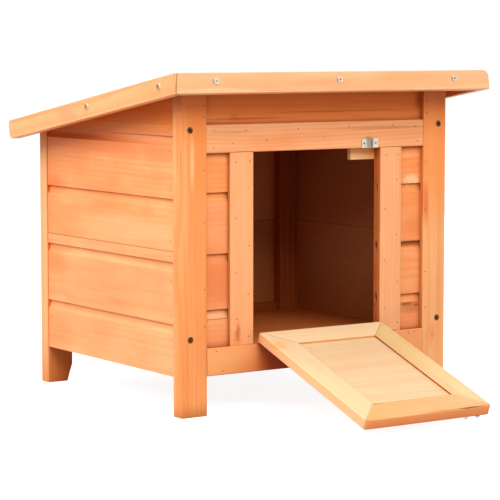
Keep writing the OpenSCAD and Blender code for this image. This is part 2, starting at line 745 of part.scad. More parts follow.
module rail_hinge_leaves() color(STEEL) in_house() at_pin() hinge_places()
    hinge_leaf([[-hinge_len / 2, -outer_span], [outer_span, hinge_len / 2]]);
module door_hinge_leaves() color(STEEL) in_house() on_door() mirror([0, 0, 1])
    hinge_places() hinge_leaf([[-inner_span, inner_span]]);
module hinge_pins() color(STEEL) in_house() at_pin() hinge_places() rotate([0, 90, 0]) {
    translate([0, 0, -hinge_len / 2 - pin_head_t / 2])
        cylinder(h = hinge_len + pin_head_t, r = pin_r);
    for (end = [-1, 1]) translate([0, 0, end * (hinge_len + pin_head_t) / 2])
        cylinder(h = pin_head_t, r = pin_head_r, center = true);
}
module rail_hinge_screws() color(STEEL) in_house() at_pin() hinge_places() leaf_screw_places()
    screw(small_head_d, small_shank_d, hinge_screw_len);
module door_hinge_screws() color(STEEL) in_house() on_door() mirror([0, 0, 1])
    hinge_places() leaf_screw_places() screw(small_head_d, small_shank_d, hinge_screw_len);

// Barrel bolt on the outer face of the door. A loop is drawn with the rod's axis at the origin
// and its feet towards -y.
module loop_profile(inner_r, foot, feet_w = 0) difference() {
    union() {
        circle(inner_r + plate_t);
        translate([-inner_r - plate_t, -foot]) square([2 * (inner_r + plate_t), foot]);
        if (feet_w > 0) translate([-feet_w / 2, -foot]) square([feet_w, plate_t]);
    }
    circle(inner_r);
    translate([-inner_r, -foot - over]) square([2 * inner_r, foot + over]);
}
module on_rod_axis() on_door() translate([bolt_x, door_face - rod_lift, 0]) children();
module plate_screw_places()
    for (side = [-1, 1], y = [plate_start + plate_screw_inset, plate_end - plate_screw_inset])
        translate([bolt_x + side * plate_screw_x, y, door_t + plate_t]) children();
module plate_screw_holes() plate_screw_places()
    screw_hole(small_head_d, small_shank_d, plate_screw_len);
module bolt_plate() color(STEEL) in_house() {
    on_door_plan() difference() {
        translate([bolt_x - plate_w / 2, plate_start, door_t]) cube([plate_w, plate_len, plate_t]);
        plate_screw_holes();
    }
    for (z = [lower_guide_z, upper_guide_z]) on_rod_axis() translate([0, 0, z])
        mirror([0, 1, 0]) linear_extrude(guide_len) loop_profile(rod_r + rod_play, rod_lift - plate_t);
}
module bolt_plate_screws() color(STEEL) in_house() on_door_plan() plate_screw_places()
    screw(small_head_d, small_shank_d, plate_screw_len);
module bolt_rod() color(STEEL) in_house() on_rod_axis() {
    tip = rod_r / 2;
    rod_top = door_end - rod_set;
    translate([0, 0, rod_top - rod_len]) cylinder(h = rod_len - tip, r = rod_r);
    translate([0, 0, rod_top - tip]) cylinder(h = tip, r1 = rod_r, r2 = rod_r - tip);
    translate([0, 0, knob_z]) rotate([90, 0, 0]) {
        cylinder(h = knob_h - knob_r - rod_lift, r = stem_r);
        translate([0, 0, knob_h - knob_r - rod_lift]) sphere(knob_r);
    }
}
module keeper_screw_places() for (side = [-1, 1])
    translate([bolt_x + side * keeper_screw_x, trim_face_y - plate_t, lintel_z + keeper_h / 2])
        rotate([90, 0, 0]) children();
module keeper_screw_holes() keeper_screw_places()
    screw_hole(small_head_d, small_shank_d, plate_screw_len);
module keeper() color(STEEL) in_house() difference() {
    translate([bolt_x, trim_face_y - keeper_axis, lintel_z]) mirror([0, 1, 0])
        linear_extrude(keeper_h) loop_profile(rod_r + keeper_play, keeper_axis, keeper_w);
    keeper_screw_holes();
}
module keeper_screws() color(STEEL) in_house() keeper_screw_places()
    screw(small_head_d, small_shank_d, plate_screw_len);

front_left_post();
front_right_post();
rear_left_leg();
rear_right_leg();
front_left_batten();
front_right_batten();
rear_left_batten();
rear_right_batten();
left_board_lower();
left_board_middle();
left_board_upper();
right_board_lower();
right_board_middle();
right_board_upper();
rear_board_lower();
rear_board_upper();
front_board_lower();
front_board_left();
front_board_right();
front_board_upper();
bottom_rail();
header();
left_stile();
right_stile();
stop_block();
floor_panel();
front_bearer();
rear_bearer();
left_bearer();
right_bearer();
rear_floor_strip();
roof_board_front();
roof_board_middle();
roof_board_rear();
roof_felt();
front_fascia();
left_fascia();
right_fascia();
cup_washers();
fascia_screws();
roof_screws();
post_screws();
door_left_stile();
door_right_stile();
door_bottom_rail();
door_top_rail();
door_panel();
rail_hinge_leaves();
door_hinge_leaves();
hinge_pins();
rail_hinge_screws();
door_hinge_screws();
bolt_plate();
bolt_plate_screws();
bolt_rod();
keeper();
keeper_screws();
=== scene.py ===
# %% [markdown]
# # A pine pet house with a drop-down ramp
# The construction model gives every board, screw and hinge at its real size, in metres. This
# notebook dresses it: it gives each piece of timber its own grain, lacquers it, drives in the
# brads and clout nails, and sets up a plain studio. Nothing of the construction model is moved or
# reshaped, so all positions come from its own boxes.

# %% Load the construction model
import json
import math
import random

import bmesh
import bpy
from mathutils import Euler, Matrix, Vector
from mathutils.bvhtree import BVHTree


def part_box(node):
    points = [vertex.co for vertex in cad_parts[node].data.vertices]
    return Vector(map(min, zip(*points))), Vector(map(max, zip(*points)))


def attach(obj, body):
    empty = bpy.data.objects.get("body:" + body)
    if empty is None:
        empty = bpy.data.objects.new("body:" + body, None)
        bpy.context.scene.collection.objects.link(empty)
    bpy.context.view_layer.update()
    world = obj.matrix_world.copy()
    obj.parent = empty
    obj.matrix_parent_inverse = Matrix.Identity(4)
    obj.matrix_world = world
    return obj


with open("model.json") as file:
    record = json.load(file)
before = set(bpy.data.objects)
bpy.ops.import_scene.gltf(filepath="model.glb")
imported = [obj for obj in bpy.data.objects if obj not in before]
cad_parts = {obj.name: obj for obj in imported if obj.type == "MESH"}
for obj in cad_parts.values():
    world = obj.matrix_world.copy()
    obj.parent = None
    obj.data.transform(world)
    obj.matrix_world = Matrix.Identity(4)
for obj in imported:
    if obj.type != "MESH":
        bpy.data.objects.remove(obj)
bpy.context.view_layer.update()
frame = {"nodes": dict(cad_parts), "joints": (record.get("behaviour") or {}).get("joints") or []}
nodes = frame["nodes"]
MM = 0.001

# %% [markdown]
# ## Camera
# A long lens from far away keeps the walls nearly parallel, as in a catalogue picture. The camera
# stands in front of the house and to its left, just above the roof's front edge, and looks down
# a little. It could be aimed by a constraint, but three plain angles are easier to read.

# %% Camera
LENS = 153.0             # mm
SENSOR = 36.0            # mm wide
CAMERA_PLACE = (-1.6334, -2.3281, 0.4771)
LOOK_DOWN = 5.623        # degrees below level
LOOK_RIGHT = 34.116      # degrees from straight at the front
camera_data = bpy.data.cameras.new("camera")
camera_data.lens = LENS
camera_data.sensor_width = SENSOR
camera_data.clip_end = 60.0
camera = bpy.data.objects.new("camera", camera_data)
camera.location = CAMERA_PLACE
camera.rotation_euler = (math.radians(90 - LOOK_DOWN), 0, math.radians(-LOOK_RIGHT))
bpy.context.scene.collection.objects.link(camera)
bpy.context.scene.camera = camera
bpy.context.scene.view_settings.view_transform = "Standard"
print("camera", [round(c, 3) for c in camera.location])

# %% [markdown]
# ## Small helpers
# Colours are written as they look on a screen, in hex, and one function turns them into the
# linear numbers that Blender mixes with. One more function adds a shader node of any kind, sets
# its options and joins or fills its sockets, so that a material reads as a short list. A node
# that is given as an input stands for its first output in use.

# %% Colour and node helpers
def linear(hex_colour):
    """A hex colour as Blender's linear RGBA."""
    values = []
    for start in (1, 3, 5):
        c = int(hex_colour[start:start + 2], 16) / 255
        values.append(c / 12.92 if c <= 0.04045 else ((c + 0.055) / 1.055) ** 2.4)
    return (*values, 1.0)


def add(tree, kind, inputs=None, **settings):
    """Adds a node; inputs are nodes or sockets to join or values to set, by name or number."""
    node = tree.nodes.new("ShaderNode" + kind)
    for key, value in settings.items():
        setattr(node, key, value)
    for key, value in (inputs or {}).items():
        if isinstance(value, bpy.types.Node):
            value = next(socket for socket in value.outputs if socket.enabled)
        if isinstance(value, bpy.types.NodeSocket):
            tree.links.new(value, node.inputs[key])
        else:
            node.inputs[key].default_value = value
    return node


def new_material(name):
    """A material and its empty node tree."""
    material = bpy.data.materials.new(name)
    material.use_nodes = True
    material.node_tree.nodes.clear()
    return material, material.node_tree


def dress(node_name, material):
    """Gives a construction piece one material."""
    nodes[node_name].data.materials.clear()
    nodes[node_name].data.materials.append(material)


print("helpers ready")

# %% [markdown]
# Most finishes here, and the shade painted into corners, are one colour laid over another where
# something happens: in a corner, near a knot, on a face that looks left. So one step is shared by
# all of them: a value that tells how much it happens is spread smoothly over 0 to 1, and the tint
# is laid on by that much. A new colour ramp has only two stops, so a second helper brings it to as
# many as a pattern needs.

# %% Tints and colour ramps
def tinted(tree, colour, tint, value, bare, full, strength=1.0, blend="MIX"):
    """Lays a tint over a colour: not at all where the value is bare, most where it is full."""
    share = add(tree, "MapRange", {"Value": value, "From Min": bare, "From Max": full,
                                   "To Max": strength}, interpolation_type="SMOOTHSTEP")
    return add(tree, "Mix", {0: share, 6: colour, 7: linear(tint)}, data_type="RGBA",
               blend_type=blend)


def fill_stops(ramp, stops):
    """Gives a colour ramp its stops, each a place and a linear colour."""
    elements = ramp.color_ramp.elements
    while len(elements) < len(stops):
        elements.new(0.5)
    for element, (place, colour) in zip(elements, stops):
        element.position = place
        element.color = colour


print("tints and colour ramps ready")

# %% [markdown]
# ## Pine
# The house is planed pine with a clear honey-coloured lacquer. A board shows growth rings, which
# run as long lines on its faces and as arcs on its ends; fine fibres and soft streaks along the
# grain; and clouds and spots where the lacquer soaked in more. A flat image of wood would stretch
# on the ends. A solid pattern is used instead: each board is cut, in thought, from its own trunk,
# so the lines on its faces and the arcs on its ends meet at the arris as they do in real timber.

# %% Timber sizes
FIBRE = 1.9 * MM         # real fibres are finer, but would not show at this distance
FIBRE_LENGTH = 70 * MM
STREAK = 8 * MM          # a soft stripe of early wood that runs far along the board
STREAK_LENGTH = 420 * MM
CLOUD = 85 * MM          # a patch that took more lacquer
CLOUD_LENGTH = 187 * MM
MOTTLE = 22 * MM         # small uneven spots that the plane and the brush left
MOTTLE_LENGTH = 37.4 * MM
DRIFT = 1000 / 9 * MM    # a trunk is never quite round: its rings wander about every 111 mm
DRIFT_ASIDE = 30 * MM    # and by a share of this much
DRIFT_ALONG = 0.22       # how fast they wander along the trunk, as a share of that across it
TRUNK_STEP = 1.7         # metres along the trunk for each unit of a board's seed
EASED = 0.7 * MM         # radius that sanding leaves on an arris
WAVE_PERIOD = 2 * math.pi / 20   # distance between the rings of a Wave texture at scale 1
closed_turn = math.radians(frame["joints"][0]["range_deg"][1])
roof_fall = math.radians(9.35)   # how the side fascias lie
GRAIN = {                # turns the grain's direction to +Z
    "x": (0, math.radians(-90), 0),
    "y": (math.radians(90), 0, 0),
    "z": (0, 0, 0),
    "down_the_roof": (math.radians(90) + roof_fall, 0, 0),
    "up_the_door": (-closed_turn, 0, 0),
    "across_the_door": (-closed_turn, math.radians(-90), 0),
}
print("the door lies", round(math.degrees(closed_turn), 1), "degrees open")

# %% [markdown]
# ### From a board to its trunk
# A Mapping node turns the piece's own coordinates until the grain runs along +Z, and shifts them
# so that the trunk's heart, the pith, lies where we want it. A pith far off gives nearly straight
# lines; one close by gives the wide arches of a flat-sawn board. The seed slides the board along
# its trunk, so that no two boards share their clouds.

# %% Trunk
def trunk_place(piece, grain, pith, seed):
    """The shift that takes a piece, once turned, to its place in the trunk."""
    low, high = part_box(piece)
    centre = Euler(GRAIN[grain]).to_matrix() @ ((low + high) / 2)
    return Vector((pith[0] * MM, pith[1] * MM, seed * TRUNK_STEP)) - centre


def rings(tree, trunk, ring):
    """Growth rings: wide pale early wood, then a thin dark line that ends sharply."""
    slow = add(tree, "Mapping", {"Vector": trunk, "Scale": (1, 1, DRIFT_ALONG)})
    drift = add(tree, "TexNoise", {"Vector": slow, "Scale": 1 / DRIFT, "Detail": 2.0,
                                   "Roughness": 0.5})
    centred = add(tree, "VectorMath", {0: drift.outputs["Color"], 1: (0.5, 0.5, 0.5)},
                  operation="SUBTRACT")
    bent = add(tree, "VectorMath", {0: centred, 1: (DRIFT_ASIDE, DRIFT_ASIDE, 0), 2: trunk},
               operation="MULTIPLY_ADD")
    wave = add(tree, "TexWave", {"Vector": bent, "Scale": WAVE_PERIOD / (ring * MM)},
               wave_type="RINGS", rings_direction="Z", wave_profile="SAW")
    return add(tree, "MapRange", {"Value": wave.outputs["Fac"], "From Min": 0.4,
                                  "From Max": 0.97}, interpolation_type="SMOOTHSTEP")


def along_grain(tree, trunk, width, length, detail=2.0):
    """Noise drawn out along the grain."""
    drawn = add(tree, "Mapping", {"Vector": trunk, "Scale": (1, 1, width / length)})
    return add(tree, "TexNoise", {"Vector": drawn, "Scale": 0.5 / width, "Detail": detail,
                                  "Roughness": 0.6, "Distortion": 0.2})


print("rings and fibres ready")

# %% [markdown]
# ### Lacquer
# One honey tone per board is not enough: a board runs from a paler, yellower tone to a deeper,
# redder one. Both are worked out from the board's own middle tone, by mixing in a little raw
# pine or a little of the red-brown that pine takes under lacquer.

# %% Tones
RAW_PINE = Vector(linear("#FFD89C"))
RED_PINE = Vector(linear("#DC6C2A"))
WIDEST = 0.62            # how far a width of 1 goes towards raw pine and red pine


def tones(middle, width):
    """Pale, middle and deep tone of a board."""
    middle = Vector(linear(middle))
    pale = middle.lerp(RAW_PINE, WIDEST * width)
    deep = middle.lerp(RED_PINE, WIDEST * width)
    return tuple(pale), tuple(middle), tuple(deep)


print("tones of a wall board", [round(c, 2) for c in tones("#F9A163", 0.6)[1][:3]])

# %% [markdown]
# A stained patch, a rough spot, a knot in an edge, a crack or a patch of painted shade or
# highlight is a soft-edged ellipsoid of another colour, at a place on the piece in millimetres. It
# could be painted on an image, but then it would have to be painted again for each board. The edge
# of a small mark is broken up by noise, so that it does not look stamped on, while a large patch
# is a soft cloud and stays smooth. Faces that look one way can take a tint of their own: the raw
# insides of the walls are browner, partly as painted shade; the sawn edges of the ramp took more
# lacquer than its planed face; and some faces are darkened as painted shade where less light
# reaches them.

# %% Marks and tinted faces
SMALL_MARK = 20          # mm; a mark that reaches as far as this keeps a smooth edge
TORN, SMOOTH = 1.8, 0.3  # how much the noise moves the edge of a small and of a large mark
TEAR = 1000 / 130 * MM   # size of that noise, about 8 mm


def mark(tree, where, wobble, colour, place, reach, tint, strength):
    """Lays one ellipsoid patch over a colour, full up to 0.3 of its reach and gone at 1.5 of it.

    Place and reach are in mm.
    """
    away = add(tree, "VectorMath", {0: where, 1: Vector(place) * MM}, operation="SUBTRACT")
    size = add(tree, "VectorMath", {0: away, 1: Vector(reach) * MM}, operation="DIVIDE")
    tear = TORN if max(reach) < SMALL_MARK else SMOOTH
    ragged = add(tree, "VectorMath", {0: wobble, 1: (tear, tear, tear), 2: size},
                 operation="MULTIPLY_ADD")
    far = add(tree, "VectorMath", {0: ragged}, operation="LENGTH")
    return tinted(tree, colour, tint, far, 1.5, 0.3, strength)


def face(tree, normal, colour, direction, tint, strength, blend):
    """Tints the faces that look along a direction: in full at 25 degrees off, none at 60."""
    along = add(tree, "VectorMath", {0: normal, 1: Vector(direction).normalized()},
                operation="DOT_PRODUCT")
    return tinted(tree, colour, tint, along, 0.5, 0.9, strength, blend)


print("marks and faces ready")

# %% [markdown]
# Two boards that meet show a hairline, where dirt and lacquer lie in the joint. It is thinner than
# the light can draw by itself, so it is coloured in: a thin slice of the piece on either side of
# the joint's plane, as far out from a point as the joint runs.

# %% Joints
JOINT = 0.9              # half width of a joint's line, mm


def seam(tree, where, colour, point, across, reach, tint):
    """Colours the hairline of a joint through a point. Point and reach are in mm."""
    away = add(tree, "VectorMath", {0: where, 1: Vector(point) * MM}, operation="SUBTRACT")
    across = Vector(across).normalized()
    off = add(tree, "VectorMath", {0: away, 1: across}, operation="DOT_PRODUCT")
    off = add(tree, "Math", {0: off}, operation="ABSOLUTE")
    thin = add(tree, "MapRange", {"Value": off, "From Min": JOINT * MM,
                                  "From Max": 0.2 * JOINT * MM}, interpolation_type="SMOOTHSTEP")
    far = add(tree, "VectorMath", {0: away}, operation="LENGTH")
    near = add(tree, "MapRange", {"Value": far, "From Min": reach * MM,
                                  "From Max": 0.95 * reach * MM, "To Max": 0.7},
               interpolation_type="SMOOTHSTEP")
    line = add(tree, "Math", {0: thin, 1: near}, operation="MULTIPLY")
    return add(tree, "Mix", {0: line, 6: colour, 7: linear(tint)}, data_type="RGBA")


print("joints ready")

# %% [markdown]
# A knot pushes the rings aside before they are drawn, and then gets its own dark heart. The push
# is strongest at the knot and fades out a few knot widths away.

# %% Knots
KNOT = "#E88A4C"
KNOT_REACH = 4           # knot widths to where the rings are straight again
KNOT_PUSH = 2.2          # ring spacings that the knot pushes them aside


def part_rings(tree, trunk, place, size, ring):
    """Bends the trunk's coordinates round a knot. Gives them and the distance from the knot."""
    away = add(tree, "VectorMath", {0: trunk, 1: place}, operation="SUBTRACT")
    squeezed = add(tree, "VectorMath", {0: away, 1: (1, 1, 0.5)}, operation="MULTIPLY")
    far = add(tree, "VectorMath", {0: squeezed}, operation="LENGTH")
    push = add(tree, "MapRange", {"Value": far, "From Max": size * KNOT_REACH * MM,
                                  "To Min": KNOT_PUSH * ring * MM, "To Max": 0.0},
               interpolation_type="SMOOTHSTEP")
    aside = add(tree, "CombineXYZ", {"X": push, "Y": push})
    return add(tree, "VectorMath", {0: trunk, 1: aside}, operation="ADD"), far


print("knots ready")

# %% [markdown]
# ### One board
# The patterns push the tone up or down about its middle. Then come the knots, the tinted faces,
# the marks and the joints, of which some faces and marks are painted shade or highlight, and at
# last the corners, where shade is painted in: the colour is deepened in grooves and under the
# eaves, where less light reaches. The Ambient Occlusion node finds those places from the shape
# itself, from every side alike. It reaches far under the eaves and less far in the front, which is
# set back between the posts. On the sill the painted shade is a deep red-brown, because the light
# there comes off the wood of the ramp. On the ramp it stays in the joints.
# The pith is thrown at random, well off the board. One wide board gets a chosen one, nearer to
# its face, so that its lines widen towards one edge as on flat-sawn wood.

# %% Figures
FIGURES = {              # ring spacing in mm; strength of rings, fibres, streaks, clouds, mottle
    "soft": (7.0, 0.09, 0.28, 0.26, 1.00, 0.55),
    "lined": (4.6, 0.26, 0.46, 0.45, 0.50, 0.45),
    "trim": (4.6, 0.13, 0.42, 0.45, 0.50, 0.40),
    "post": (6.5, 0.18, 0.36, 0.75, 0.45, 0.35),
    "fascia": (12.0, 0.28, 0.26, 0.40, 0.70, 0.45),
    "ramp": (6.5, 0.20, 0.32, 0.50, 0.90, 0.85),
    "panel": (9.0, 0.12, 0.26, 0.60, 0.90, 0.50),
    "inside": (8.0, 0.22, 0.20, 0.50, 0.80, 0.20),
}
UNDER_EAVES = (110, "#EABA7E")   # how far shade is painted in round a corner in mm, and its tint
IN_RECESS = (30, "#BCAE90")      # the front, which is set back between the posts
UNDER_RAMP = (90, "#AC3400")     # the sill, shaded by the ramp
ON_RAMP = (25, "#EABA7E")        # between the ramp's members and its panel
CHOSEN_PITH = {"left_board_middle": (30, 120)}   # mm off its middle, through and across the board
random.seed(11)


def throw():
    """A pith place 55 to 120 mm off the board's middle, and a seed."""
    angle = random.uniform(0, 2 * math.pi)
    reach = random.uniform(55, 120)
    return (reach * math.cos(angle), reach * math.sin(angle)), random.uniform(0.5, 9.5)


print("figures:", ", ".join(FIGURES))

# %% [markdown]
# The lacquer is a satin one: a soft, broad sheen that the fibres break up a little. So the shader
# is a plain Principled one with the IOR of a resin and a roughness near the middle. A Bevel node
# rounds the arrises that are too fine for the construction model, and a faint bump lets the light
# catch the fibres. Real bevels on every board would need far more faces for the same look.

# %% Painted corner shade and lacquer sheen
LACQUER_IOR = 1.48       # a dried resin
LACQUER_SPECULAR = 0.22  # less than a fresh film, because the pine drank much of it


def paint_corner_shade(tree, colour, reach, tint):
    """Paints shade into corners: deepens a colour where the shape keeps light out."""
    corner = add(tree, "AmbientOcclusion", {"Distance": reach * MM}, samples=8)
    return tinted(tree, colour, tint, corner.outputs["AO"], 0.95, 0.3, blend="MULTIPLY")


def lacquer(tree, colour, fibres, late):
    """Satin lacquer over a colour, with the relief of the fibres and the late wood."""
    height = add(tree, "Math", {0: fibres, 1: 0.6, 2: late}, operation="MULTIPLY_ADD")
    eased = add(tree, "Bevel", {"Radius": EASED}, samples=4)
    bump = add(tree, "Bump", {"Height": height, "Strength": 0.2, "Distance": 0.25 * MM,
                              "Normal": eased})
    roughness = add(tree, "MapRange", {"Value": fibres, "From Min": 0.3, "From Max": 0.7,
                                       "To Min": 0.42, "To Max": 0.54},
                    interpolation_type="SMOOTHSTEP")
    shader = add(tree, "BsdfPrincipled", {"Base Color": colour, "Normal": bump,
                                          "Roughness": roughness, "IOR": LACQUER_IOR,
                                          "Specular IOR Level": LACQUER_SPECULAR})
    add(tree, "OutputMaterial", {"Surface": shader})


print("lacquer ready")

# %% Pine material
def pine(piece, grain, tone, figure, marks=(), faces=(), knots=(), seams=(), corner=UNDER_EAVES):
    """Lacquered pine for one piece of timber."""
    material, tree = new_material("lacquered_pine_" + piece)
    pith, seed = throw()
    pith = CHOSEN_PITH.get(piece, pith)
    ring, *shares = FIGURES[figure]
    coords = add(tree, "TexCoord")
    where = coords.outputs["Object"]
    shift = trunk_place(piece, grain, pith, seed)
    trunk = add(tree, "Mapping", {"Vector": where, "Rotation": GRAIN[grain], "Location": shift})
    bent, hearts = trunk, []
    for place, size in knots:
        knot = Euler(GRAIN[grain]).to_matrix() @ (Vector(place) * MM) + shift
        bent, far = part_rings(tree, bent, knot, size, ring)
        hearts.append((far, size))
    late = rings(tree, bent, ring)
    fibres = along_grain(tree, trunk, FIBRE, FIBRE_LENGTH)
    streaks = along_grain(tree, trunk, STREAK, STREAK_LENGTH, 1.0)
    clouds = along_grain(tree, trunk, CLOUD, CLOUD_LENGTH, 3.0)
    mottle = along_grain(tree, trunk, MOTTLE, MOTTLE_LENGTH, 4.0)
    tone_at = 0.5
    means = (0.35, 0.5, 0.5, 0.5, 0.5)   # where each pattern leaves the tone as it is
    for pattern, share, mean in zip((late, fibres, streaks, clouds, mottle), shares, means):
        off = add(tree, "Math", {0: pattern, 1: mean}, operation="SUBTRACT")
        tone_at = add(tree, "Math", {0: off, 1: share, 2: tone_at}, operation="MULTIPLY_ADD")
    pale, middle, deep = tones(*tone)
    colour = add(tree, "ValToRGB", {"Fac": tone_at})
    fill_stops(colour, [(0.15, pale), (0.5, middle), (0.85, deep)])
    for far, size in hearts:
        colour = tinted(tree, colour, KNOT, far, size * 0.6 * MM, size * 0.3 * MM)
    for direction, tint, strength, blend in faces:
        colour = face(tree, coords.outputs["Normal"], colour, direction, tint, strength, blend)
    if marks:
        noise = add(tree, "TexNoise", {"Vector": where, "Scale": 1 / TEAR, "Detail": 2.0})
        wobble = add(tree, "VectorMath", {0: noise.outputs["Color"], 1: (0.5, 0.5, 0.5)},
                     operation="SUBTRACT")
    for place, reach, tint, strength in marks:
        colour = mark(tree, where, wobble, colour, place, reach, tint, strength)
    for point, across, reach, tint in seams:
        colour = seam(tree, where, colour, point, across, reach, tint)
    lacquer(tree, paint_corner_shade(tree, colour, *corner), fibres, late)
    dress(piece, material)


print("pine ready")

# %% [markdown]
# ### Which board gets which pine
# The wall boards are the deepest orange and vary most. Posts and trim are a little paler, and the
# ramp is the palest, because its broad face has only a thin coat; its pale tone also stands for the
# strong light on that face, a painted highlight. The insides of the walls have none of the honey
# lacquer and look brown, and are partly painted darker as shade inside the house. A random tone per
# board would do for a new house, but this one's boards are known by their streaks and stains, so
# each has its tone and marks in a table: place, reach, colour and strength. Some tones and marks
# are painted shade or highlight, as the comments beside them say.

# %% Wall tones and faces
# Inner faces: raw, browner wood, partly painted shade for the dim inside. The front boards' end
# edges, at the doorway, are darkened as painted shade.
RAW_AND_SHADED_INSIDE = ("#D19764", 0.75, "MIX")
SHADED_EDGE = ("#E0C0A4", 1.0, "MULTIPLY")
INWARD = {"left": (1, 0, 0), "right": (-1, 0, 0), "rear": (0, -1, 0), "front": (0, 1, 0)}
WALL_TONES = {
    "left_board_lower": ("#FAA56A", 0.62),
    "left_board_middle": ("#F99B5D", 0.66),
    # this board lies under the eave; its deeper, redder tone is painted shade
    "left_board_upper": ("#EE7E1E", 0.2),
    "front_board_left": ("#F79C64", 0.55),
    "front_board_right": ("#F89658", 0.6),
    "front_board_lower": ("#F79860", 0.5),
    "front_board_upper": ("#FC9858", 0.5),
}
PLAIN_WALL = ("#F79C5E", 0.62)   # the boards that are seen least
print(len(WALL_TONES), "boards with a tone of their own")

# %% Wall marks
x_left, x_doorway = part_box("left_board_middle")[0].x / MM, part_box("right_stile")[0].x / MM
y_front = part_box("front_board_right")[0].y / MM
INDOORS = 3              # mm inside a wall's inner face, so that its outer face keeps its colour
x_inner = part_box("right_board_lower")[0].x / MM - INDOORS
y_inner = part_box("rear_board_lower")[0].y / MM - INDOORS
WALL_MARKS = {           # place, reach, colour, strength
    "left_board_middle": [
        ((x_left, 262, 282), (12, 42, 11), "#F87C3A", 0.7),
        # painted shade under the eave, along the top of the board
        ((x_left, 110, 348), (12, 170, 22), "#F98848", 0.55),
        ((x_left, 60, 232), (12, 150, 18), "#FFBE84", 0.5),
        # painted shade along the joint under the eave, a painted highlight on the groove's bevel,
        # and painted shade below the joint
        ((x_left, 106, 366), (12, 400, 9), "#EE8A3C", 0.7),
        ((x_left, -25, 351), (12, 110, 7), "#FFC890", 0.3),
        ((x_left, 190, 354), (12, 110, 9), "#B0602C", 0.4)],
    "left_board_lower": [
        ((x_left, 258, 176), (12, 40, 22), "#F98844", 0.6),
        ((x_left, 262, 80), (12, 50, 26), "#F78E50", 0.5)],
    "front_board_right": [
        # painted shade in a groove, and in the ends of the grooves at the doorway
        ((156, y_front, 203), (40, 7, 4.5), "#9C4C18", 0.9),
        ((x_doorway, y_front + 3, 291), (4, 3, 6), "#A03C10", 0.7),
        ((x_doorway, y_front + 2, 205), (4, 3, 5), "#943610", 0.8),
        ((x_doorway, y_front + 2, 135), (4, 3, 4), "#A03C10", 0.8),
        ((165, y_front, 226), (28, 6, 16), "#EE7A3A", 0.5)],
    "front_board_left": [
        ((-155, y_front, 172), (48, 6, 36), "#DC6E2C", 0.45),
        # a painted highlight on the bevel of a groove
        ((-155, y_front, 127), (48, 6, 5), "#FFBE8A", 0.6)],
    # the next three boards' marks lie on their inner faces and are painted shade inside the house
    "right_board_lower": [
        ((x_inner, 215, 90), (6, 240, 130), "#8A4816", 0.65)],
    "right_board_middle": [
        ((x_inner, 225, 290), (6, 260, 150), "#9A5420", 0.4)],
    "rear_board_lower": [
        ((60, y_inner, 130), (260, 6, 130), "#9C5A26", 0.45)],
    "front_board_lower": [
        # painted shade in a groove
        ((163, y_front, 116), (26, 6, 8), "#BC6A34", 0.55),
        ((152, y_front, 121), (9, 5, 2.5), "#7E4420", 0.7),
        ((170, y_front, 119), (7, 5, 2), "#7E4420", 0.6)],
    "front_board_upper": [
        # painted shade under the front eave
        ((0, y_front, 402), (700, 30, 28), "#FF7A12", 0.6),
        ((160, y_front, 290), (15, 5, 7), "#FFCE9C", 0.8),
        ((-128, y_front, 380), (6, 4, 4), "#D8601C", 0.5),
        ((-110, y_front, 378), (64, 5, 1.5), "#9A4A1C", 0.5),
        ((30, y_front, 385), (110, 5, 1.3), "#A8541F", 0.45),
        ((170, y_front, 398), (6, 4, 11), "#A84410", 0.5)],
}
print(sum(len(marks) for marks in WALL_MARKS.values()), "marks on the walls")

# %% Wall boards
HAIRLINE = "#9A5024"
TONGUE = 5               # mm that a board's tongue stands up behind the board above it
front_joint, side_joint = (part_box(board)[1].z / MM - TONGUE
                           for board in ("front_board_lower", "left_board_lower"))
for piece in sorted(nodes):
    side = piece.split("_")[0]
    if "_board_" in piece and side in INWARD:
        in_front = side == "front"
        faces = [(INWARD[side], *RAW_AND_SHADED_INSIDE)]
        if in_front:
            faces += [(across, *SHADED_EDGE) for across in ((1, 0, 0), (-1, 0, 0))]
        pine(piece, "x" if side in ("front", "rear") else "y",
             WALL_TONES.get(piece, PLAIN_WALL), "lined" if piece == "front_board_upper" else "soft",
             marks=WALL_MARKS.get(piece, ()), faces=faces,
             seams=[((0, 0, front_joint if in_front else side_joint), (0, 0, 1), 900, HAIRLINE)],
             corner=IN_RECESS if in_front else UNDER_EAVES)
        print("wall board", piece)

# %% [markdown]
# ### Posts and legs
# The corner posts stand proud of the walls, so they are seen on two faces at once. They are sawn
# from narrower stuff with close streaks. At the top, under the eave, they are painted deeper in
# colour as painted shade, and one has a crack along it and the other a small knot at its foot. A
# mark reaches round the corner in one piece, which an image on each face could not do without a
# break at the arris. The left post's left face and the left leg's front face are tinted darker as
# painted shade.

# %% Posts and legs
y_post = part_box("front_left_post")[0].y / MM
POST_TONES = {"front_left_post": ("#F99E5C", 0.6), "front_right_post": ("#FCAE70", 0.6)}
POST_MARKS = {
    "front_left_post": [
        # painted shade under the eave
        ((-190, y_post, 402), (34, 20, 44), "#FF8436", 0.6),
        ((-188, y_post, 335), (22, 20, 60), "#F4863E", 0.55),
        ((-194, y_post, 290), (16, 10, 70), "#F9924E", 0.5),
        ((-197, y_post, 325), (3, 6, 34), "#FFC488", 0.7),
        ((-213, -76.6, 325), (3, 1.0, 30), "#A85C2C", 0.6),
        ((-213, -69, 345), (3, 3.5, 34), "#F08C50", 0.6),
        ((-207, y_post, 290), (4, 8, 90), "#FFC07E", 0.35)],
    "front_right_post": [
        # painted shade under the eave
        ((194, y_post, 405), (46, 20, 42), "#FF7E36", 0.7),
        ((194, y_post, 335), (40, 30, 95), "#F88E46", 0.7),
        ((179, y_post, 258), (5, 6, 26), "#E8602A", 0.6),
        ((190, y_post, 78), (9, 6, 14), "#F4884A", 0.4)],
}
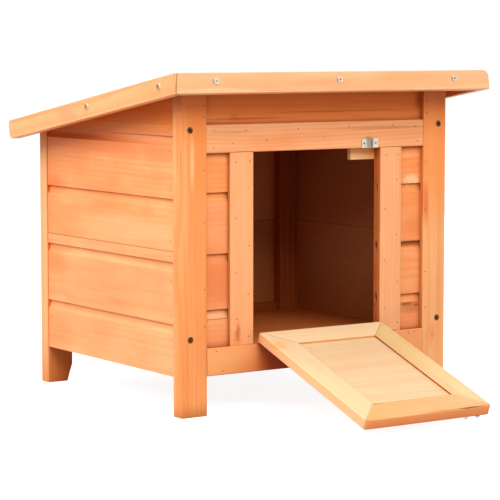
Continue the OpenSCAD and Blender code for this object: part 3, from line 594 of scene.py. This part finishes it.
POST_SHADED_FACES = {           # direction, tint, strength and blend of a face's painted shade
    "front_left_post": [((-1, 0, 0), "#FFF0E2", 1.0, "MULTIPLY")],
    "rear_left_leg": [((0, -1, 0), "#F8EEEA", 1.0, "MULTIPLY")],
}
for piece in ("front_left_post", "front_right_post", "rear_left_leg", "rear_right_leg"):
    pine(piece, "z", POST_TONES.get(piece, ("#F4A86C", 0.5)), "post",
         marks=POST_MARKS.get(piece, ()), faces=POST_SHADED_FACES.get(piece, ()),
         corner=IN_RECESS if piece.endswith("post") else UNDER_EAVES,
         knots=[((192, y_post, 77), 2.6)] if piece == "front_right_post" else ())
    print("post", piece)

# %% [markdown]
# ### Trim
# Header, sill and the two stiles frame the doorway. They are narrow planed stock with fine
# straight lines. The stiles' grain runs up and the header's and sill's across, as they were cut:
# one pattern over all four would give away that they are not separate pieces. The block that
# stops the door is a piece of paler wood behind the header.

# %% Trim
y_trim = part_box("left_stile")[0].y / MM
pine("header", "x", ("#F8A670", 0.55), "lined", corner=IN_RECESS,
     marks=[((105, y_trim, 362), (75, 5, 2.4), "#C87038", 0.5),
            ((-140, y_trim, 361), (34, 5, 1.8), "#C8743C", 0.3),
            ((-70, y_trim, 346), (40, 5, 9), "#F29458", 0.5)])
# the sill is painted darker under the ramp, by its corner shade and by one mark of painted shade
pine("bottom_rail", "x", ("#FBA868", 0.45), "soft", corner=UNDER_RAMP,
     marks=[((-62, y_trim, 60), (56, 6, 24), "#F08030", 0.5)])
pine("left_stile", "z", ("#F7A770", 0.45), "trim", corner=IN_RECESS,
     marks=[((-129, y_trim, 95), (8, 5, 14), "#EE8440", 0.5),
            ((-127, y_trim, 104), (3.5, 4, 10), "#BC5420", 0.6)])
# the right stile's edge at the doorway is darkened as painted shade
pine("right_stile", "z", ("#F8AA74", 0.45), "trim", corner=IN_RECESS,
     marks=[((128, y_trim, 87), (11, 4, 1.1), "#7A3A18", 0.8)],
     faces=[((-1, 0, 0), "#E8C8AC", 1.0, "MULTIPLY")])
pine("stop_block", "x", ("#FFCA92", 0.3), "panel")
print("trim ready")

# %% [markdown]
# ### Fascias
# Three boards hide the edge of the roof, with wide, flat-sawn rings. The side ones run down with
# the roof, so their trunk is turned by its fall. Without that turn, their lines would run out at
# the boards' edges. The corner where the left one meets the front one shows as a line.

# %% Fascias
y_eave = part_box("front_fascia")[0].y / MM
x_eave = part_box("left_fascia")[0].x / MM
z_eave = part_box("front_fascia")[1].z / MM
fascia_corner = [((x_eave, y_eave, z_eave), (1, -1, 0), 60, "#7A3E1C")]
pine("front_fascia", "x", ("#F9B684", 0.45), "fascia",
     marks=[((-30, y_eave, 425), (48, 8, 5), "#F39A66", 0.45),
            ((120, y_eave, 430), (60, 8, 6), "#F49C56", 0.4)], seams=fascia_corner)
pine("left_fascia", "down_the_roof", ("#F4AA70", 0.5), "fascia",
     marks=[((x_eave, 148, 380), (5, 26, 10), "#F49068", 0.5)], seams=fascia_corner)
pine("right_fascia", "down_the_roof", ("#F4AA70", 0.5), "fascia", seams=fascia_corner)
print("fascias ready")

# %% [markdown]
# ### Hidden timber
# Battens, bearers, floor and roof boards were never lacquered. Raw pine that has darkened for some
# years is brown, and the floor a little redder. Little light reaches them through the doorway, so
# two tones and one figure are enough for all of them.

# %% Hidden timber
INSIDE = ("#A8602E", 0.35)
FLOORING = ("#C2672E", 0.3)
ON_THE_FLOOR = ("floor_panel", "front_bearer", "rear_bearer")
for piece in sorted(nodes):
    if piece.endswith("_batten"):
        pine(piece, "z", INSIDE, "inside")
    elif piece in ("left_bearer", "right_bearer"):
        pine(piece, "y", INSIDE, "inside")
    elif piece in ON_THE_FLOOR:
        pine(piece, "x", FLOORING, "inside")
    elif piece == "rear_floor_strip" or piece.startswith("roof_board"):
        pine(piece, "x", INSIDE, "inside")
print("hidden timber ready")

# %% [markdown]
# ### Ramp
# The ramp's four members meet in mitres, each a plane at 45 degrees through a corner of the
# door. A door that lay flat would be easier to mark out, but it may not be moved from its slope,
# so the mitres are laid out along the slope instead. The door's corners are worked out from the
# box of one member: the box is as long as the member's length and thickness together, each
# leaning its own way.

# %% Mitres of the ramp
lie = closed_turn - math.radians(90)
up = Vector((0, -math.sin(lie), math.cos(lie)))
up_hill = Vector((0, math.cos(lie), math.sin(lie)))
member_low, member_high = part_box("door_left_stile")
span = member_high - member_low
door_length = (span.y * math.cos(lie) - span.z * math.sin(lie)) / math.cos(2 * lie)
door_middle = (member_low + member_high) / 2
right_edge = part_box("door_right_stile")[1].x
MITRE = "#B47C48"
MITRE_LENGTH = 62        # mm, past the end of a mitre, which is 52 mm long
mitres = []
for end in (-1, 1):
    for side in (-1, 1):
        corner = (Vector((side * right_edge, door_middle.y, door_middle.z))
                  + up_hill * end * door_length / 2)
        mitres.append((corner / MM, Vector((side, 0, 0)) - up_hill * end, MITRE_LENGTH, MITRE))
print(len(mitres), "mitres on a door", round(door_length / MM, 1), "mm long")

# %% [markdown]
# The face that one walks on is pale and thinly coated; its pale tone also stands for the strong
# light on it, a painted highlight. The outer face, which lies underneath while the ramp is down,
# is lacquered like the rest of the house. The sawn edges took more lacquer than the faces, and the
# inner edge of the right-hand member is painted dark as painted shade.

# %% Ramp
LACQUERED_FACE = (-up, "#FF9C50", 0.55, "MIX")
# the members' pale middle tones are partly a painted highlight for the strong light on the ramp's
# face
RAMP_MEMBERS = {         # grain, middle tone and the tints of its own faces
    "door_left_stile": ("up_the_door", "#E2C096", [((-1, 0, 0), "#FBBE86", 0.85, "MIX")]),
    "door_right_stile": ("up_the_door", "#DFB980", [((1, 0, 0), "#F8A868", 0.85, "MIX"),
                                                    # painted shade on the inner edge of the
                                                    # right-hand member
                                                    ((-1, 0, 0), "#A8642C", 0.85, "MIX")]),
    "door_bottom_rail": ("across_the_door", "#F2CC9E", [(up_hill, "#F5A868", 0.6, "MIX")]),
    "door_top_rail": ("across_the_door", "#D6A267", [(-up_hill, "#FFA262", 1.0, "MIX")]),
    "door_panel": ("across_the_door", "#E2C094", [(-up, "#FAAC72", 0.1, "MIX")]),
}
ramp_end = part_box("door_top_rail")[0].y / MM
RAMP_MARKS = {
    "door_top_rail": [
        ((61, ramp_end + 0.6, 21.9), (12, 1.6, 1.1), "#30140A", 0.95),
        ((68, ramp_end + 0.6, 21.9), (27, 1.3, 0.9), "#7C3410", 0.85),
        ((18, ramp_end + 0.8, 21.9), (30, 1.2, 0.8), "#A85A20", 0.6),
        ((-60, -281, 34), (14, 1.4, 1.6), "#9A5C2C", 0.7)],
    "door_left_stile": [
        ((-92, -121, 90), (10, 12, 6), "#F4A45C", 0.6),
        ((-84, -215, 58), (10, 70, 26), "#F2CE98", 0.4)],
    "door_right_stile": [((86, -270, 38), (10, 30, 12), "#E8C68E", 0.5)],
}
for piece, (grain, tone, own_faces) in RAMP_MEMBERS.items():
    is_panel = piece == "door_panel"
    pine(piece, grain, (tone, 0.3), "panel" if is_panel else "ramp",
         marks=RAMP_MARKS.get(piece, ()), faces=[LACQUERED_FACE, *own_faces],
         seams=() if is_panel else mitres, corner=ON_RAMP)
print("ramp ready")

# %% [markdown]
# ## Steel fittings
# Screws, hinges and bolt are pressed and turned steel with a thin metal plating. Plating is not
# quite even: under a glass it shows small spangles. A noise of about the size of those spangles
# varies colour and roughness, and Ambient Occlusion paints shade into the recesses, such as the
# recess of a screw head.

# %% Plated steel
def plated(name, pale, dark, recess_shade, spangle, rough, pieces, shade_reach=1.6, marks=(), faces=()):
    """Plated steel. spangle is its patch size, and the reach given after the pieces is how far
    shade is painted into its recesses, both in mm.
    """
    material, tree = new_material(name)
    coords = add(tree, "TexCoord")
    where = coords.outputs["Object"]
    patches = add(tree, "TexNoise", {"Vector": where, "Scale": 0.5 / (spangle * MM),
                                     "Detail": 3.0})
    colour = add(tree, "ValToRGB", {"Fac": patches})
    fill_stops(colour, [(0.3, linear(dark)), (0.7, linear(pale))])
    hollow = add(tree, "AmbientOcclusion", {"Distance": shade_reach * MM}, samples=8)
    colour = tinted(tree, colour, recess_shade, hollow.outputs["AO"], 0.8, 0.35, blend="MULTIPLY")
    for place, reach, tint, strength in marks:
        colour = mark(tree, where, (0, 0, 0), colour, place, reach, tint, strength)
    for direction, tint, strength, blend in faces:
        colour = face(tree, coords.outputs["Normal"], colour, direction, tint, strength, blend)
    eased = add(tree, "Bevel", {"Radius": 0.25 * MM}, samples=4)
    bump = add(tree, "Bump", {"Height": patches, "Strength": 0.15, "Distance": 0.1 * MM,
                              "Normal": eased})
    roughness = add(tree, "MapRange", {"Value": patches, "From Min": 0.3, "From Max": 0.7,
                                       "To Min": rough, "To Max": rough + 0.15},
                    interpolation_type="SMOOTHSTEP")
    shader = add(tree, "BsdfPrincipled", {"Base Color": colour, "Normal": bump,
                                          "Roughness": roughness, "Metallic": 1.0})
    add(tree, "OutputMaterial", {"Surface": shader})
    for piece in pieces:
        dress(piece, material)
    return material


print("plated steel ready")

# %% [markdown]
# Each kind of fitting has its own plating: bright zinc on hinges and bolt; a duller, warmer hot
# zinc on the bent keeper, with painted shade at its middle and round its screws; pale nickel on
# the washers, rough enough to stay pale on every side, with their left faces tinted warmer and
# darker as painted shade that dims the lamp's glint; a brown bronze tint on the screws in the
# posts, so that they sink into the wood; blued steel on the brads, nearly black; and grey zinc on
# the clout nails.

# %% Fittings
plated("zinc_plated_steel", "#EEEAE2", "#CFCBC2", "#6A655C", 2.2, 0.3,
       ("bolt_plate", "bolt_plate_screws", "bolt_rod", "door_hinge_leaves", "door_hinge_screws",
        "hinge_pins", "rail_hinge_leaves", "rail_hinge_screws"))
keeper_low, keeper_high = (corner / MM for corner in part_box("keeper"))
keeper_middle = (keeper_low + keeper_high) / 2
KEEPER_SCREW = 9.5       # mm from the keeper's middle to each of its screws
# painted shade: the keeper's dark slot at its middle and round its two screws, and its recesses
KEEPER_SHADE = "#2C2A24"
keeper_shade_marks = [((keeper_middle.x - 1, keeper_low.y, keeper_middle.z), (2.6, 4, 12), KEEPER_SHADE, 0.8)]
keeper_shade_marks += [((keeper_middle.x + side * KEEPER_SCREW, keeper_high.y, keeper_middle.z),
                  (1.3, 4, 1.3), KEEPER_SHADE, 0.9) for side in (-1, 1)]
plated("galvanised_keeper_steel", "#DED6C8", "#C2BAAC", KEEPER_SHADE, 4.0, 0.42,
       ("keeper", "keeper_screws"), 2.0, marks=keeper_shade_marks)
# the left faces are tinted warmer and darker, a painted shade that dims the lamp's glint on them
plated("bright_nickel_washers", "#D8CEC0", "#C0B6A8", "#8A7A66", 1.5, 0.72,
       ("cup_washers", "fascia_screws", "roof_screws"), 2.4,
       faces=[((-1, 0, 0), "#E4B890", 1.0, "MULTIPLY")])
plated("bronzed_steel", "#80583C", "#3A2012", "#140A06", 1.2, 0.4, ("post_screws",), 2.6)
brad_steel = plated("blued_brad_steel", "#341006", "#200A04", "#201008", 0.8, 0.8, ())
clout_zinc = plated("hot_dipped_zinc", "#B8BAB8", "#8E9290", "#5A5E5C", 1.8, 0.5, ())
print("steel ready")

# %% [markdown]
# ## Roofing felt
# Felt is bitumen on a woven base, rolled in crushed slate. The slate is a field of small angular
# grains, each with its own grey or green, with a little black bitumen between them. Voronoi cells
# give exactly that: a random colour per cell, and a distance that makes each grain stand up.

# %% Felt
GRAIN_OF_SLATE = 1.5 * MM   # real grit is near 1 mm; this size still shows from a few steps away
WEAR = 1000 / 14 * MM       # patches of about 71 mm where the rain wore the slate pale
SLATE = [(0.05, linear("#24302A")), (0.5, linear("#3F5246")), (0.95, linear("#6E7F72"))]
felt, tree = new_material("slate_mineral_felt")
where = add(tree, "TexCoord").outputs["Object"]
grit = add(tree, "TexVoronoi", {"Vector": where, "Scale": 1 / GRAIN_OF_SLATE})
shade = add(tree, "SeparateColor", {"Color": grit.outputs["Color"]})
colour = add(tree, "ValToRGB", {"Fac": shade})
fill_stops(colour, SLATE)
colour = tinted(tree, colour, "#15181A", grit, 0.55, 0.8)
wear = add(tree, "TexNoise", {"Vector": where, "Scale": 1 / WEAR, "Detail": 4.0})
colour = tinted(tree, colour, "#7C887C", wear, 0.35, 0.7, strength=0.35)
bump = add(tree, "Bump", {"Height": grit, "Strength": 0.7, "Distance": 0.5 * MM}, invert=True)
shader = add(tree, "BsdfPrincipled", {"Base Color": colour, "Normal": bump, "Roughness": 0.9})
add(tree, "OutputMaterial", {"Surface": shader})
dress("roof_felt", felt)
print("felt ready")

# %% [markdown]
# ## Brads and clout nails
# Trim and wall boards are held by brads from a nail gun, whose small heads end up level with the
# wood. The felt is held down by clout nails with broad flat heads. Each nail could be a separate
# object, but one mesh per kind is easier to keep. A ray is sent at the piece from outside, and
# the head is set where it meets the wood, so that no nail floats over a groove.

# %% A nail head
NAIL_DEPTH = 0.8 * MM    # how much of a nail is made: its head and a little below
HEAD_SIDES = 12
RAY_START = 100 * MM     # how far outside a nail's place its ray starts


def surface(*names):
    """Search trees of the faces of these pieces, for rays."""
    trees = []
    for name in names:
        mesh = nodes[name].data
        trees.append(BVHTree.FromPolygons([v.co for v in mesh.vertices],
                                          [p.vertices for p in mesh.polygons]))
    return trees


def drive(bm, trees, place, inward, radius, proud, dish):
    """Drives one nail at a place in mm; dish sinks the middle of its head, or raises it."""
    inward = Vector(inward).normalized()
    start = Vector(place) * MM - inward * RAY_START
    hits = [hit for hit in (tree.ray_cast(start, inward) for tree in trees) if hit[0]]
    if not hits:
        return 0
    spot = min(hits, key=lambda hit: hit[3])
    turn = spot[1].to_track_quat("Z", "Y").to_matrix().to_4x4()
    seat = Matrix.Translation(spot[0] + spot[1] * (proud * MM - NAIL_DEPTH / 2)) @ turn
    made = bmesh.ops.create_cone(bm, cap_ends=True, segments=HEAD_SIDES, radius1=radius * MM,
                                 radius2=radius * 0.9 * MM, depth=NAIL_DEPTH, matrix=seat)
    faces = {f for v in made["verts"] for f in v.link_faces}
    head = max(faces, key=lambda f: f.calc_center_median().dot(spot[1]))
    bmesh.ops.inset_individual(bm, faces=[head], thickness=radius * 0.35 * MM)
    bmesh.ops.translate(bm, verts=list(head.verts), vec=spot[1] * -dish * MM)
    return 1


def nails(name, bm, material):
    """Turns a mesh of nails into a piece that rides with the house."""
    mesh = bpy.data.meshes.new(name)
    bm.to_mesh(mesh)
    bm.free()
    mesh.materials.append(material)
    piece = bpy.data.objects.new(name, mesh)
    bpy.context.scene.collection.objects.link(piece)
    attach(piece, "house")
    print(name, len(mesh.polygons), "faces")


print("nails ready")

# %% [markdown]
# The gun was worked by eye, so the brads zigzag: one near the left edge, the next near the right.
# A little random play on top keeps the rows from looking drawn with a ruler.

# %% Brads in the trim
BRAD = 0.85              # head radius, mm
BRAD_PROUD = 0.1         # mm that a head stands above the wood
BRAD_DISH = 0.1          # mm that its middle is sunk
PLAY = 1.5               # mm that the nail gun slips at most
brad_bm = bmesh.new()
count = 0


def play():
    """A random slip of the nail gun, mm."""
    return random.uniform(-PLAY, PLAY)


def brad(trees, place, inward):
    """Drives one brad. Gives the number driven."""
    return drive(brad_bm, trees, place, inward, BRAD, BRAD_PROUD, BRAD_DISH)


# Each brad's place is counted from its piece's left edge and up from its lower end, in mm.
STILE_BRADS = ((10, 8), (29, 10), (29, 66), (10, 33), (9, 95), (28, 129), (10, 165), (28, 204),
               (10, 236), (30, 238))
HEADER_BRADS = ((11, 29), (60, 28), (142, 28), (224, 29), (297, 29), (335, 27),
                (12, 6), (40, 12), (92, 14), (183, 15), (255, 14), (339, 7))
RAIL_BRADS = ((14, 31), (24, 5), (326, 31), (336, 32), (322, 6))
for stile in ("left_stile", "right_stile"):
    wood, edge = surface(stile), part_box(stile)[0] / MM
    for across, rise in STILE_BRADS:
        count += brad(wood, (edge.x + across + play(), edge.y, edge.z + rise + play()), (0, 1, 0))
wood, edge = surface("header"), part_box("header")[0] / MM
for across, rise in HEADER_BRADS:
    count += brad(wood, (edge.x + across + play(), edge.y, edge.z + rise), (0, 1, 0))
wood, edge = surface("bottom_rail"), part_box("bottom_rail")[0] / MM
for across, rise in RAIL_BRADS:
    count += brad(wood, (edge.x + across, edge.y, edge.z + rise), (0, 1, 0))
print(count, "brads in the trim")

# %% Brads in the front posts
POST_HEIGHTS = (115, 163, 248, 314, 381, 396)
FROM_EDGE = 4            # mm from the post's inner edge
for post, corner, inward in (("front_left_post", 1, -1), ("front_right_post", 0, 1)):
    wood, y = surface(post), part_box(post)[0].y / MM
    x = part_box(post)[corner].x / MM + inward * FROM_EDGE
    for height in POST_HEIGHTS:
        count += brad(wood, (x + play() / 3, y, height + play()), (0, 1, 0))
print(count, "brads in the front")

# %% Brads in the side and rear walls
# Heights in mm above the ground, near the front corner (y = -50) and near the rear one.
SIDE_BRADS = {-50: (60, 100, 128, 175, 204, 223, 260, 291, 338, 367, 389),
              262: (58, 94, 126, 203, 279, 318)}
for side, inward in (("left", 1), ("right", -1)):
    boards = surface(side + "_board_lower", side + "_board_middle", side + "_board_upper")
    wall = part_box(side + "_board_lower")[0 if inward > 0 else 1].x / MM
    for along, heights in SIDE_BRADS.items():
        for height in heights:
            count += brad(boards, (wall, along + play(), height + play()), (inward, 0, 0))
REAR_HEIGHTS = (66, 98, 140, 182, 224, 262, 300)
FROM_REAR_EDGE = 16      # mm from the wall's edge to its row of brads
boards = surface("rear_board_lower", "rear_board_upper")
rear_low, rear_high = (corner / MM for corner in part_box("rear_board_lower"))
for x in (rear_low.x + FROM_REAR_EDGE, rear_high.x - FROM_REAR_EDGE):
    for height in REAR_HEIGHTS:
        count += brad(boards, (x + play(), rear_high.y, height + play()), (0, -1, 0))
print(count, "brads in all")
nails("wall_brads", brad_bm, brad_steel)

# %% [markdown]
# Along its edges the felt is nailed about every 85 mm, 12 mm in. The heads are broad and a little
# domed, and stand on the slate.

# %% Clout nails in the felt
CLOUT = 3.6              # head radius, mm
CLOUT_PROUD = 0.5        # mm that a head stands above the felt
CLOUT_DOME = 0.15        # mm that its middle is raised
clout_bm = bmesh.new()
low, high = (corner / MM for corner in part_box("roof_felt"))
sheet = surface("roof_felt")
inset, spacing = 12, 85
rows = [(low.x + inset, y) for y in range(int(low.y) + inset, int(high.y) - inset, spacing)]
rows += [(high.x - inset, y) for x, y in rows]
rows += [(x, low.y + inset) for x in range(int(low.x) + spacing, int(high.x) - inset, spacing)]
rows += [(x, high.y - inset) for x in range(int(low.x) + inset, int(high.x), spacing)]
driven = sum(drive(clout_bm, sheet, (x, y, high.z), (0, 0, -1), CLOUT, CLOUT_PROUD, -CLOUT_DOME)
             for x, y in rows)
nails("felt_clout_nails", clout_bm, clout_zinc)
print(driven, "clout nails")

# %% [markdown]
# ## Studio
# A plain white floor and an even white surround, lit by three broad lamps. A white backdrop
# could be had with more light, but that would bleach the wood. Instead the floor itself is grey,
# and only what the camera, mirrors and glass see of it is lifted towards white, so the house
# throws a soft shadow on it but takes no glare from it.

# %% White for the eye only
def seen_directly(tree):
    """1 for camera, mirror and glass rays, 0 for the light that reaches the object."""
    path = add(tree, "LightPath")
    seen = add(tree, "Math", {0: path.outputs["Is Camera Ray"], 1: path.outputs["Is Glossy Ray"]},
               operation="MAXIMUM")
    return add(tree, "Math", {0: seen, 1: path.outputs["Is Transmission Ray"]},
               operation="MAXIMUM")


print("studio helper ready")

# %% Floor
FLOOR_REACH = 12.0       # metres to each side
FLOOR_GLOW = 0.88        # with the lamps' light on the grey, this comes out as white
floor_bm = bmesh.new()
bmesh.ops.create_grid(floor_bm, x_segments=1, y_segments=1, size=FLOOR_REACH)
floor_mesh = bpy.data.meshes.new("studio_floor")
floor_bm.to_mesh(floor_mesh)
floor_bm.free()
floor = bpy.data.objects.new("studio_floor", floor_mesh)
bpy.context.scene.collection.objects.link(floor)
paper, tree = new_material("white_paper_floor")
matt = add(tree, "BsdfPrincipled", {"Base Color": linear("#A8A8A8"), "Roughness": 0.9})
lift = add(tree, "Math", {0: seen_directly(tree), 1: FLOOR_GLOW}, operation="MULTIPLY")
glow = add(tree, "Emission", {"Strength": lift})
both = add(tree, "AddShader", {0: matt, 1: glow})
add(tree, "OutputMaterial", {"Surface": both})
floor_mesh.materials.append(paper)
print("floor", 2 * FLOOR_REACH, "m wide")

# %% [markdown]
# The surround is white to the eye, and lights the house from all sides by about a quarter of
# that, so that no side falls into black.

# %% World
SURROUND_LIGHT = 0.24
world = bpy.data.worlds.new("studio_world")
bpy.context.scene.world = world
world.use_nodes = True
tree = world.node_tree
tree.nodes.clear()
strength = add(tree, "MapRange", {"Value": seen_directly(tree), "To Min": SURROUND_LIGHT})
surround = add(tree, "Background", {"Color": linear("#FFFFFF"), "Strength": strength})
add(tree, "OutputWorld", {"Surface": surround})
print("white surround")

# %% [markdown]
# Three softboxes: the main one in front and above, one to the left that lights the side wall, and
# a low, weaker fill from behind on the right. They are square and broad, so that shadows are
# soft. A lamp's power is worked out from the level it should give at its distance, so that it
# can be moved nearer or farther without a new power.

# %% Lamps
AIM = Vector((0, 0.05, 0.2))     # near the middle of the house, in metres


def lamp(name, azimuth, elevation, distance, size, level):
    """A square softbox aimed at the house. Azimuth turns to the left from straight in front.

    A level of 1 lights white paper that faces the lamp to just white.
    """
    a, e = math.radians(azimuth), math.radians(elevation)
    away = Vector((-math.sin(a) * math.cos(e), -math.cos(a) * math.cos(e), math.sin(e)))
    data = bpy.data.lights.new(name, "AREA")
    data.size = size
    data.energy = level * math.pi ** 2 * distance ** 2
    light = bpy.data.objects.new(name, data)
    light.location = AIM + away * distance
    light.rotation_euler = away.to_track_quat("Z", "Y").to_euler()
    bpy.context.scene.collection.objects.link(light)
    print(name, [round(c, 2) for c in light.location], round(data.energy, 1), "W")


lamp("front_softbox", 20, 41, 2.6, 1.7, 1.0)
lamp("left_softbox", 104, 38, 2.6, 1.9, 0.87)
lamp("rear_right_fill", -125, 9, 2.8, 2.0, 0.6)
